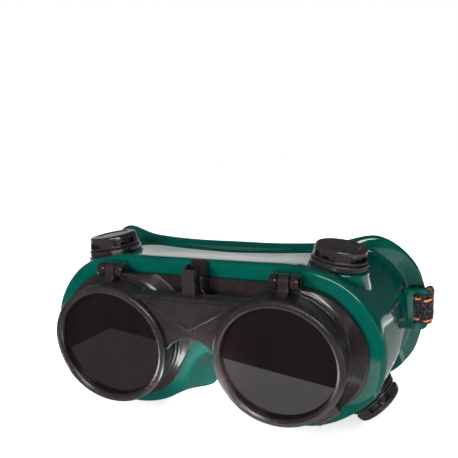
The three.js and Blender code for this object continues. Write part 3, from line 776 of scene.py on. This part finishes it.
STRAP_BACK_Y = 150
STRAP_BACK_Z = -49.1
STRAP_HALF_THICK = 0.6
WEAVE_PITCH = 0.95               # between neighbouring threads
WEAVE_RELIEF = 0.15
STRAP_COLUMNS = 15
STITCH_ROW = 5.2                # from the strap's middle to each row of stitches
STITCH_PITCH = 5.7
STITCH_LENGTH = 4.7
STITCH_R = 0.48
STRAP_HALF_ROUTE = [
    (91.5, 83.4, STRAP_Z), (89, 80.8, STRAP_Z), (87.5, 78.6, STRAP_Z), (87.3, 76.3, STRAP_Z),
    (87.5, 74.5, STRAP_Z), (88.7, 73.5, STRAP_Z), (90.8, 73.3, STRAP_Z), (93, 73.6, STRAP_Z),
    (94.2, 75, STRAP_Z), (94.3, 78, STRAP_Z), (94.4, 84, -1.4), (94.3, 91, -2.4),
    (93.2, 98, -4.6), (89.6, 109, -11.4), (83.5, 121, -21.6), (74, 132, -32.4),
    (60, 141.6, -41.4), (48, 147.2, -46.4), (38, 149.6, STRAP_BACK_Z),
    (30, STRAP_BACK_Y, STRAP_BACK_Z), (15, STRAP_BACK_Y, STRAP_BACK_Z),
    (0, STRAP_BACK_Y, STRAP_BACK_Z),
]
FINE_STEPS = 3000                # for measuring along the strap's route
STITCH_STEP = 0.5
STITCH_SIDES = 6
SLIDER_X = 10
SLIDER_HALF = 9
SLIDER_RAIL = 2
BAR_THICK = 1.6


def strap_line(pitch):
    """Points along the strap's middle line a fixed distance apart, each with its directions
    along, across and through the strap, and the whole length."""
    half = STRAP_HALF_ROUTE
    route = Route(half + [(-x, y, z) for x, y, z in half[-2::-1]], False)
    fine = np.array([route.at(i / FINE_STEPS) for i in range(FINE_STEPS + 1)])
    walked = np.concatenate(([0], np.cumsum(np.linalg.norm(np.diff(fine, axis=0), axis=1))))
    count = int(round(walked[-1] / pitch))
    wanted = np.linspace(0, walked[-1], count + 1)
    middle = np.stack([np.interp(wanted, walked, fine[:, k]) for k in range(3)], axis=1)
    along = np.gradient(middle, axis=0)
    along /= np.linalg.norm(along, axis=1)[:, None]
    up = np.array((0, 0, 1.0))
    across = up - along * (along @ up)[:, None]
    across /= np.linalg.norm(across, axis=1)[:, None]
    return middle, along, across, np.cross(along, across), walked[-1]


def make_strap():
    """A woven ribbon: its threads stand out of both faces in a checked pattern."""
    middle, _, across, through, length = strap_line(WEAVE_PITCH)
    half = STRAP_WIDTH / 2
    points, weave = [], []
    columns = np.linspace(-1, 1, STRAP_COLUMNS + 1)
    loop = [(c, 1) for c in columns] + [(c, -1) for c in columns[::-1]]
    for i, p in enumerate(middle):
        for j, (c, face) in enumerate(loop):
            edge = max(1 - abs(c) ** 7, 0.12)
            relief = WEAVE_RELIEF if (i + j) % 2 else -WEAVE_RELIEF
            if abs(c) == 1:
                relief = 0
            thick = STRAP_HALF_THICK * edge ** 0.5 + relief
            points.append(p + across[i] * c * half + through[i] * face * thick)
            weave.append((i * WEAVE_PITCH, c * half, face))
    size = len(loop)
    faces = web(len(middle), size, False, size)
    faces.append(tuple(range(size)))
    faces.append(tuple(range((len(middle) - 1) * size, len(middle) * size)))
    mesh = bpy.data.meshes.new("strap")
    mesh.from_pydata([tuple(p) for p in points], [], faces)
    attribute = mesh.attributes.new("weave", "FLOAT_VECTOR", "POINT")
    attribute.data.foreach_set("vector", np.array(weave, np.float32).ravel())
    bm = bmesh.new()
    bm.from_mesh(mesh)
    bmesh.ops.recalc_face_normals(bm, faces=bm.faces)
    bm.to_mesh(mesh)
    bm.free()
    obj = bpy.data.objects.new("strap", mesh)
    bpy.context.scene.collection.objects.link(obj)
    return obj, length


def make_stitches():
    """Two rows of orange running stitches on each face of the strap."""
    middle, _, across, through, length = strap_line(STITCH_STEP)
    profile = [(0, 0.15), (0.12, 0.7), (0.3, 0.95), (0.5, 1), (0.7, 0.95), (0.88, 0.7), (1, 0.15)]
    sides = web(len(profile), STITCH_SIDES, False, STITCH_SIDES)
    points, faces = [], []
    rng = np.random.default_rng(7)
    places = np.arange(2.5, length - 3.5, STITCH_PITCH)
    for face in (1, -1):
        for row in (-STITCH_ROW, STITCH_ROW):
            for start in places:
                slant = rng.uniform(-0.1, 0.1) + 0.3 * face
                lift = rng.uniform(-0.05, 0.05)
                base = len(points)
                for share, fat in profile:
                    step = (start + share * STITCH_LENGTH) / STITCH_STEP
                    i = min(int(round(step)), len(middle) - 1)
                    sunk = 0.62 - 0.3 * (2 * share - 1) ** 4
                    core = (middle[i] + across[i] * (row + slant * (share - 0.5) * 3)
                            + through[i] * face * (sunk + lift))
                    for k in range(STITCH_SIDES):
                        a = 2 * math.pi * k / STITCH_SIDES
                        points.append(core + (across[i] * math.cos(a) * 1.15
                                              + through[i] * math.sin(a)) * STITCH_R * fat)
                faces += [tuple(base + v for v in face_points) for face_points in sides]
                faces.append(tuple(base + k for k in range(STITCH_SIDES)))
                last = base + (len(profile) - 1) * STITCH_SIDES
                faces.append(tuple(last + k for k in range(STITCH_SIDES)))
    return from_points(points, faces, "stitches")


def make_slider():
    half = STRAP_WIDTH / 2 + GAP + SLIDER_RAIL
    bars = 0.7 + GAP
    x0, x1 = SLIDER_X - SLIDER_HALF, SLIDER_X + SLIDER_HALF
    y, z = STRAP_BACK_Y, STRAP_BACK_Z
    front, back = y - bars - BAR_THICK, y + bars + BAR_THICK
    shapes = [block(x0, x1, front, back, low, low + SLIDER_RAIL, 0)
              for low in (z - half, z + half - SLIDER_RAIL)]
    shapes += [block(a, a + 3, front, y - bars, z - half + 0.1, z + half - 0.1, 0)
               for a in (x0, x1 - 3)]
    shapes.append(block(SLIDER_X - 1.6, SLIDER_X + 1.6, y + bars, back, z - half + 0.1,
                        z + half - 0.1, 0))
    return bevel(fused(shapes), 0.4, 3)


# ---- materials ----

class Finish:
    """A node material in the making."""

    def __init__(self, name):
        self.material = bpy.data.materials.new(name)
        self.material.use_nodes = True
        self.tree = self.material.node_tree
        self.tree.nodes.clear()
        self.shader = self.node("ShaderNodeBsdfPrincipled")
        output = self.node("ShaderNodeOutputMaterial")
        self.link(self.shader.outputs[0], output.inputs["Surface"])
        self.place = self.node("ShaderNodeTexCoord").outputs["Object"]

    def node(self, kind, **settings):
        made = self.tree.nodes.new(kind)
        for key, value in settings.items():
            setattr(made, key, value)
        return made

    def link(self, start, end):
        self.tree.links.new(start, end)

    def set(self, **values):
        for key, value in values.items():
            self.shader.inputs[key.replace("_", " ")].default_value = value

    def noise(self, scale, detail=3, roughness=0.5, stretch=(1, 1, 1)):
        mapping = self.node("ShaderNodeMapping")
        mapping.inputs["Scale"].default_value = stretch
        self.link(self.place, mapping.inputs["Vector"])
        made = self.node("ShaderNodeTexNoise")
        made.inputs["Scale"].default_value = scale
        made.inputs["Detail"].default_value = detail
        made.inputs["Roughness"].default_value = roughness
        self.link(mapping.outputs[0], made.inputs["Vector"])
        return made.outputs["Fac"]

    def spread(self, value, low, high, from_low=0.3, from_high=0.7):
        made = self.node("ShaderNodeMapRange")
        for key, number in (("From Min", from_low), ("From Max", from_high),
                            ("To Min", low), ("To Max", high)):
            made.inputs[key].default_value = number
        self.link(value, made.inputs["Value"])
        return made.outputs[0]

    def math(self, operation, first, second=0.0):
        made = self.node("ShaderNodeMath", operation=operation)
        for socket, value in zip(made.inputs, (first, second)):
            if isinstance(value, (int, float)):
                socket.default_value = value
            else:
                self.link(value, socket)
        return made.outputs[0]

    def mix(self, share, first, second):
        made = self.node("ShaderNodeMix", data_type="RGBA")
        for name, value in (("Factor", share), ("A", first), ("B", second)):
            socket = next(s for s in made.inputs if s.name == name
                          and s.type == ("VALUE" if name == "Factor" else "RGBA"))
            if isinstance(value, (int, float)):
                socket.default_value = value
            elif isinstance(value, tuple):
                socket.default_value = (*value, 1)
            else:
                self.link(value, socket)
        return next(s for s in made.outputs if s.type == "RGBA")

    def colour(self, value):
        self.link(value, self.shader.inputs["Base Color"])

    def roughness(self, value):
        self.link(value, self.shader.inputs["Roughness"])

    def bumps(self, *layers):
        """Bumps on top of each other: pairs of height and distance in metres."""
        normal = None
        for height, distance in layers:
            made = self.node("ShaderNodeBump")
            made.inputs["Distance"].default_value = distance
            made.inputs["Strength"].default_value = 1
            self.link(height, made.inputs["Height"])
            if normal is not None:
                self.link(normal, made.inputs["Normal"])
            normal = made.outputs[0]
        self.link(normal, self.shader.inputs["Normal"])


def pvc_finish():
    """Glossy green soft PVC, a little cloudy, with moulding waves and faint scuffs."""
    f = Finish("green_pvc")
    cloud = f.spread(f.noise(38, 3), 0, 1)
    fine = f.spread(f.noise(420, 4), 0, 1)
    tone = f.mix(cloud, (0.0, 0.046, 0.035), (0.0, 0.066, 0.05))
    f.colour(f.mix(f.math("MULTIPLY", fine, 0.25), tone, (0.002, 0.085, 0.064)))
    scuff = f.spread(f.noise(900, 2, 0.5, (1, 0.15, 1)), 0, 0.08, 0.62, 0.78)
    f.roughness(f.math("ADD", f.spread(f.noise(140, 4), 0.05, 0.12), scuff))
    f.bumps((f.noise(26, 1), 0.0011), (f.noise(150, 2), 0.00008), (f.noise(900, 2), 0.000003))
    f.set(IOR=1.45, Subsurface_Weight=0.35, Subsurface_Scale=0.004, Coat_Weight=0.1,
          Coat_Roughness=0.05)
    f.shader.inputs["Subsurface Radius"].default_value = (0.15, 1.0, 0.6)
    return f.material


def plastic_finish(name, dark, light, rough_low, rough_high, grain=0.000005):
    """Black moulded plastic: fine grain, uneven gloss, dust and rubbed patches."""
    f = Finish(name)
    cloud = f.spread(f.noise(70, 4), 0, 1)
    speck = f.spread(f.noise(2300, 2), 0, 1, 0.68, 0.76)
    tone = f.mix(cloud, dark, light)
    f.colour(f.mix(f.math("MULTIPLY", speck, 0.3), tone, (0.16, 0.15, 0.15)))
    smear = f.noise(260, 5, 0.6, (1, 1, 0.4))
    f.roughness(f.spread(smear, rough_low, rough_high))
    f.bumps((f.noise(60, 2), 0.000015), (f.noise(1500, 3), grain))
    f.set(IOR=1.5)
    return f.material


def shade_finish():
    """Near-black welding glass with a few specks of dust."""
    f = Finish("shade_glass")
    dust = f.spread(f.noise(1900, 2), 0, 1, 0.72, 0.78)
    wipe = f.spread(f.noise(120, 4, 0.6, (1, 1, 0.3)), 0, 1)
    f.colour(f.mix(f.math("MULTIPLY", dust, 0.25), f.mix(wipe, (0.0055, 0.0035, 0.004),
                                                        (0.0075, 0.005, 0.0055)),
                   (0.09, 0.09, 0.09)))
    f.roughness(f.math("ADD", f.spread(f.noise(60, 3), 0.012, 0.03),
                       f.math("MULTIPLY", dust, 0.2)))
    f.bumps((f.noise(14, 1), 0.00003), (f.noise(900, 1), 0.0000006))
    f.set(IOR=1.52)
    return f.material


def clear_finish():
    """Clear lens, slightly grey, with light smears."""
    f = Finish("clear_glass")
    wipe = f.spread(f.noise(90, 4, 0.6, (1, 1, 0.3)), 0, 1)
    f.colour(f.mix(wipe, (0.86, 0.89, 0.88), (0.93, 0.95, 0.94)))
    f.roughness(f.spread(f.noise(70, 4), 0.01, 0.05))
    f.bumps((f.noise(20, 1), 0.00002), (f.noise(700, 1), 0.0000005))
    f.set(IOR=1.47, Transmission_Weight=1.0)
    return f.material


def steel_finish():
    """Blackened steel of the hinge pins, with fine lines from drawing."""
    f = Finish("pin_steel")
    lines = f.noise(1800, 2, 0.5, (3, 0.3, 0.3))
    f.colour(f.mix(f.spread(lines, 0, 1), (0.03, 0.03, 0.031), (0.07, 0.07, 0.072)))
    f.roughness(f.spread(f.noise(500, 3), 0.25, 0.45))
    f.bumps((lines, 0.000008))
    f.set(Metallic=1.0)
    return f.material


def webbing_finish():
    """Black webbing: threads along and across, with fuzz and painted glints, light specks on the
    crowns of the threads.
    """
    f = Finish("black_webbing")
    parts = f.node("ShaderNodeSeparateXYZ")
    weave = f.node("ShaderNodeAttribute", attribute_name="weave")
    f.link(weave.outputs["Vector"], parts.inputs[0])
    along, across = parts.outputs[0], parts.outputs[1]
    per_thread = math.pi / WEAVE_PITCH
    warp = f.math("ABSOLUTE", f.math("SINE", f.math("MULTIPLY", across, per_thread)))
    weft = f.math("ABSOLUTE", f.math("SINE", f.math("MULTIPLY", along, per_thread)))
    threads = f.math("MAXIMUM", warp, weft)
    strands = f.math("ABSOLUTE", f.math("SINE", f.math("MULTIPLY", f.math("ADD", along, across),
                                                       per_thread * 3)))
    high = f.spread(threads, 0, 1, 0.72, 1)
    # painted glints: light specks on the thread crowns stand in for highlights
    painted_glints = f.math("MULTIPLY", high, f.spread(f.noise(900, 3), 0, 1, 0.52, 0.66))
    f.colour(f.mix(painted_glints, (0.003, 0.0024, 0.003), (0.16, 0.145, 0.16)))
    f.roughness(f.spread(f.noise(800, 2), 0.7, 0.95))
    f.bumps((threads, 0.00025), (strands, 0.00006), (f.noise(3000, 2), 0.00008))
    f.set(Sheen_Weight=0.08, Sheen_Roughness=0.4)
    return f.material


def thread_finish():
    """Orange sewing thread, its strands wound in a spiral that shows as bumps; its colour runs at
    random from dark red-orange to bright orange along it, painted highlights and shade.
    """
    f = Finish("orange_thread")
    twist_and_painted_light = f.noise(1300, 3)
    # painted highlights and shade: random light and dark orange along the thread; the same noise
    # gives the bumps of the strands
    f.colour(f.mix(f.spread(twist_and_painted_light, 0, 1), (0.38, 0.06, 0.012), (1.0, 0.36, 0.09)))
    f.roughness(f.spread(f.noise(1500, 2), 0.45, 0.7))
    f.bumps((twist_and_painted_light, 0.00008))
    f.set(Sheen_Weight=0.2)
    return f.material


def floor_finish():
    """Pale plain floor that glows by itself, painted light that also lightens its shadows, and
    glows more far from the goggles so that it meets the white.
    """
    f = Finish("floor")
    f.colour(f.mix(f.spread(f.noise(3, 2), 0, 1), (0.86, 0.86, 0.86), (0.9, 0.9, 0.9)))
    f.roughness(f.spread(f.noise(8, 2), 0.6, 0.7))
    f.bumps((f.noise(60, 2), 0.00002))
    f.set(Specular_IOR_Level=0.2)
    far = f.node("ShaderNodeVectorMath", operation="LENGTH")
    f.link(f.place, far.inputs[0])
    # painted light: the floor's own glow, 0.68 near the goggles, rising to 1.0 between 1 and 2.5 m
    # away
    glow = f.spread(far.outputs["Value"], 0.68, 1.0, 1.0, 2.5)
    f.link(glow, f.shader.inputs["Emission Strength"])
    f.shader.inputs["Emission Color"].default_value = (1, 1, 1, 1)
    return f.material


PVC = pvc_finish()
FLIP_PLASTIC = plastic_finish("flip_plastic", (0.014, 0.0105, 0.0115), (0.022, 0.0175, 0.019),
                              0.2, 0.3)
CARRIER_PLASTIC = plastic_finish("carrier_plastic", (0.011, 0.008, 0.0085), (0.019, 0.014, 0.0145),
                                 0.15, 0.24)
VENT_PLASTIC = plastic_finish("vent_plastic", (0.014, 0.012, 0.013), (0.027, 0.022, 0.023),
                              0.13, 0.22)
SHADE = shade_finish()
CLEAR = clear_finish()
STEEL = steel_finish()
WEBBING = webbing_finish()
THREAD = thread_finish()

SMOOTH_BELOW = math.radians(36)


def piece(obj, name, body, slot, material, *nodes, smooth_below=SMOOTH_BELOW):
    """Carries a shape into the row frame as a named piece that stands for CAD nodes."""
    obj.name = obj.data.name = name
    obj.data.transform(PLACE)
    obj.data.materials.clear()
    obj.data.materials.append(material)
    for polygon in obj.data.polygons:
        polygon.use_smooth = True
    obj.data.set_sharp_from_angle(angle=smooth_below)
    weighted = obj.modifiers.new("normals", "WEIGHTED_NORMAL")
    weighted.keep_sharp = True
    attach(obj, body)
    if nodes:
        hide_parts(*nodes)
    return obj


piece(make_cup(), "face_cup", "goggles", "pvc", PVC, "goggle_body")
piece(make_carrier(), "carrier_front", "goggles", "black_plastic", CARRIER_PLASTIC,
      "lens_carrier")
piece(make_flip_frame(), "flip_shell", "flip_front", "black_plastic", FLIP_PLASTIC, "flip_frame")
for side, side_name in SIDES:
    piece(at_lens(lens(SHADE_FRONT, SHADE_BACK), side), f"dark_lens_{side_name}", "flip_front",
          "shade_glass", SHADE, f"shade_lens_{side_name}")
    piece(at_lens(shade_lens_ring(), side), f"dark_lens_ring_{side_name}", "flip_front",
          "black_plastic", FLIP_PLASTIC, f"shade_lens_ring_{side_name}")
    piece(at_lens(lens(CLEAR_FRONT, CLEAR_FRONT + CLEAR_THICK), side),
          f"cover_lens_{side_name}", "goggles", "clear_glass", CLEAR, f"clear_lens_{side_name}")
    piece(at_lens(clear_lens_ring(), side), f"cover_lens_ring_{side_name}", "goggles",
          "black_plastic", CARRIER_PLASTIC, f"clear_lens_ring_{side_name}")
    piece(hinge_pin(side), f"pin_{side_name}", "goggles", "steel", STEEL,
          f"hinge_pin_{side_name}")
for vent_name, vent_place in VENTS.items():
    piece(vent_base(vent_place), f"vent_seat_{vent_name}", "goggles", "vent_plastic",
          VENT_PLASTIC, f"vent_base_{vent_name}")
    piece(vent_cap(vent_place), f"vent_lid_{vent_name}", "goggles", "vent_plastic",
          VENT_PLASTIC, f"vent_cap_{vent_name}")

ribbon, strap_length = make_strap()
headband = piece(ribbon, "headband", "goggles", "webbing", WEBBING, "strap",
                 smooth_below=math.radians(80))
stitches = piece(make_stitches(), "headband_stitches", "goggles", "webbing", THREAD)
piece(make_slider(), "headband_slider", "slider", "black_plastic", VENT_PLASTIC, "strap_slider")

# ---- floor, light and camera ----

CAMERA_PLACE = (0.09988, -0.29564, 0.11680)
CAMERA_RIGHT = (0.9372, 0.3490, -0.0015)
CAMERA_UP = (-0.0385, 0.1076, 0.9935)
CAMERA_BACK = (0.3468, -0.9310, 0.1142)
CAMERA_LENS = 46.31


def make_camera():
    """The camera solved from the photograph."""
    data = bpy.data.cameras.new("camera")
    data.lens, data.sensor_width, data.clip_start, data.clip_end = CAMERA_LENS, 36, 0.01, 50
    camera = bpy.data.objects.new("camera", data)
    bpy.context.scene.collection.objects.link(camera)
    axes = Matrix((CAMERA_RIGHT, CAMERA_UP, CAMERA_BACK)).transposed().to_4x4()
    camera.matrix_world = Matrix.Translation(CAMERA_PLACE) @ axes
    bpy.context.scene.camera = camera


def make_floor():
    bm = bmesh.new()
    bmesh.ops.create_circle(bm, cap_ends=True, segments=96, radius=6)
    floor = add_object("floor", bm)
    floor.data.materials.append(floor_finish())


def card(name, corners, brightness):
    """A flat glowing card, no lamp, that only reflections see: a painted reflection of light or of
    shade.
    """
    mesh = bpy.data.meshes.new(name)
    mesh.from_pydata(corners, [], [tuple(range(len(corners)))])
    obj = bpy.data.objects.new(name, mesh)
    bpy.context.scene.collection.objects.link(obj)
    material = bpy.data.materials.new(name)
    material.use_nodes = True
    tree = material.node_tree
    tree.nodes.clear()
    glow = tree.nodes.new("ShaderNodeEmission")
    glow.inputs["Color"].default_value = (1, 1, 1, 1)
    glow.inputs["Strength"].default_value = brightness
    output = tree.nodes.new("ShaderNodeOutputMaterial")
    tree.links.new(glow.outputs[0], output.inputs["Surface"])
    material.cycles.emission_sampling = "NONE"
    obj.data.materials.append(material)
    obj.visible_camera = obj.visible_diffuse = obj.visible_shadow = False
    obj.visible_transmission = obj.visible_volume_scatter = False


def area_light(name, place, target, size, power, spread=180):
    """A square or oblong lamp that reflections don't see, with its spread in degrees."""
    data = bpy.data.lights.new(name, "AREA")
    data.shape = "RECTANGLE"
    data.size, data.size_y = size
    data.energy = power
    data.spread = math.radians(spread)
    lamp = bpy.data.objects.new(name, data)
    bpy.context.scene.collection.objects.link(lamp)
    lamp.visible_glossy = False
    lamp.location = place
    lamp.rotation_euler = (Vector(place) - Vector(target)).to_track_quat("Z", "Y").to_euler()


def make_world():
    """White to the camera, dim in reflections and pale as light on the goggles."""
    world = bpy.data.worlds.new("world")
    bpy.context.scene.world = world
    world.use_nodes = True
    tree = world.node_tree
    tree.nodes.clear()
    rays = tree.nodes.new("ShaderNodeLightPath")
    pale, dim, white = [tree.nodes.new("ShaderNodeBackground") for _ in range(3)]
    for node, colour, strength in ((pale, (0.93, 0.94, 0.95, 1), 0.3),
                                   (dim, (0.05, 0.05, 0.05, 1), 1), (white, (1, 1, 1, 1), 1)):
        node.inputs["Color"].default_value = colour
        node.inputs["Strength"].default_value = strength
    mixed = tree.nodes.new("ShaderNodeMixShader")
    seen = tree.nodes.new("ShaderNodeMixShader")
    output = tree.nodes.new("ShaderNodeOutputWorld")
    tree.links.new(rays.outputs["Is Glossy Ray"], mixed.inputs[0])
    tree.links.new(pale.outputs[0], mixed.inputs[1])
    tree.links.new(dim.outputs[0], mixed.inputs[2])
    tree.links.new(rays.outputs["Is Camera Ray"], seen.inputs[0])
    tree.links.new(mixed.outputs[0], seen.inputs[1])
    tree.links.new(white.outputs[0], seen.inputs[2])
    tree.links.new(seen.outputs[0], output.inputs["Surface"])


# place, target and size in metres, power in watts, spread in degrees
LIGHTS = {
    "overhead": ((0.1, 0.45, 0.9), (0, 0, 0.04), (0.7, 0.4), 4),
    "behind": ((0.3, 0.75, 0.35), (0.05, 0, 0.05), (0.3, 0.3), 6),
    "front": ((-0.30, -0.85, 0.34), (0, 0, 0.04), (0.26, 0.26), 6.5),
    "nose_fill": ((0.05, -0.45, 0.05), (-0.01, -0.05, 0.015), (0.08, 0.08), 1.0),
    "nose_light": ((0.11, -0.33, 0.125), (-0.004, -0.045, 0.012), (0.012, 0.012), 0.012, 7),
}
# cards that lie just over the floor, at these heights
RIM_LIGHT_LEVEL = 0.0012
DARK_LEVEL = 0.0006
SHADED_LEVEL = 0.0004


def lying_card(name, x0, x1, y0, y1, level, brightness):
    card(name, [(x0, y0, level), (x1, y0, level), (x1, y1, level), (x0, y1, level)], brightness)


def standing_card(name, start, end, bottom, top, brightness):
    card(name, [(*start, bottom), (*end, bottom), (*end, top), (*start, top)], brightness)


def make_cards():
    """The edges and bands of light and dark that the photograph's glossy parts mirror."""
    # every card glows and only reflections see it: painted reflections, highlights and shade
    card("dark_beyond_the_sheet",
         [(x, y, DARK_LEVEL) for x, y in ((-0.082, -0.136), (0.2, -0.078), (0.5, -0.3),
                                          (0.5, -4), (-4, -4), (-4, 0.07), (-0.2, 0.073))], 0.01)
    standing_card("pale_backdrop", (-1.1, 0.9), (-0.15, 0.9), 0, 0.5, 0.5)
    # painted shadow: the dark under the cup, seen in reflections
    lying_card("shade_under_the_cup", -0.085, 0.085, -0.07, 0.07, DARK_LEVEL, 0.15)
    standing_card("sheen_on_the_brow", (-0.05, -0.024), (0.04, -0.024), 0.0715, 0.078, 0.7)
    # painted shade of the cup on the sheet, which darkens the left lens's reflection
    lying_card("shaded_sheet", -0.2, -0.03, -0.2, -0.05, SHADED_LEVEL, 0.34)
    # painted highlights on the lower edges of the rims
    lying_card("rim_light", -0.14, -0.086, -0.097, -0.07, RIM_LIGHT_LEVEL, 28)
    lying_card("rim_light", -0.006, 0.008, -0.097, -0.07, RIM_LIGHT_LEVEL, 14)
    # a darker painted reflection of the floor at the right of the cup
    lying_card("grey_beside_the_cup", 0.088, 0.7, -0.1, 0.5, DARK_LEVEL, 0.4)
    # painted highlight along the top edges of the cup
    standing_card("front_strip", (0.05, -0.95), (1.1, -0.75), 0.45, 0.6, 18)


bpy.context.scene.view_settings.view_transform = "Standard"
make_camera()
make_floor()
make_world()
for light_name, light in LIGHTS.items():
    area_light(light_name, *light)
make_cards()
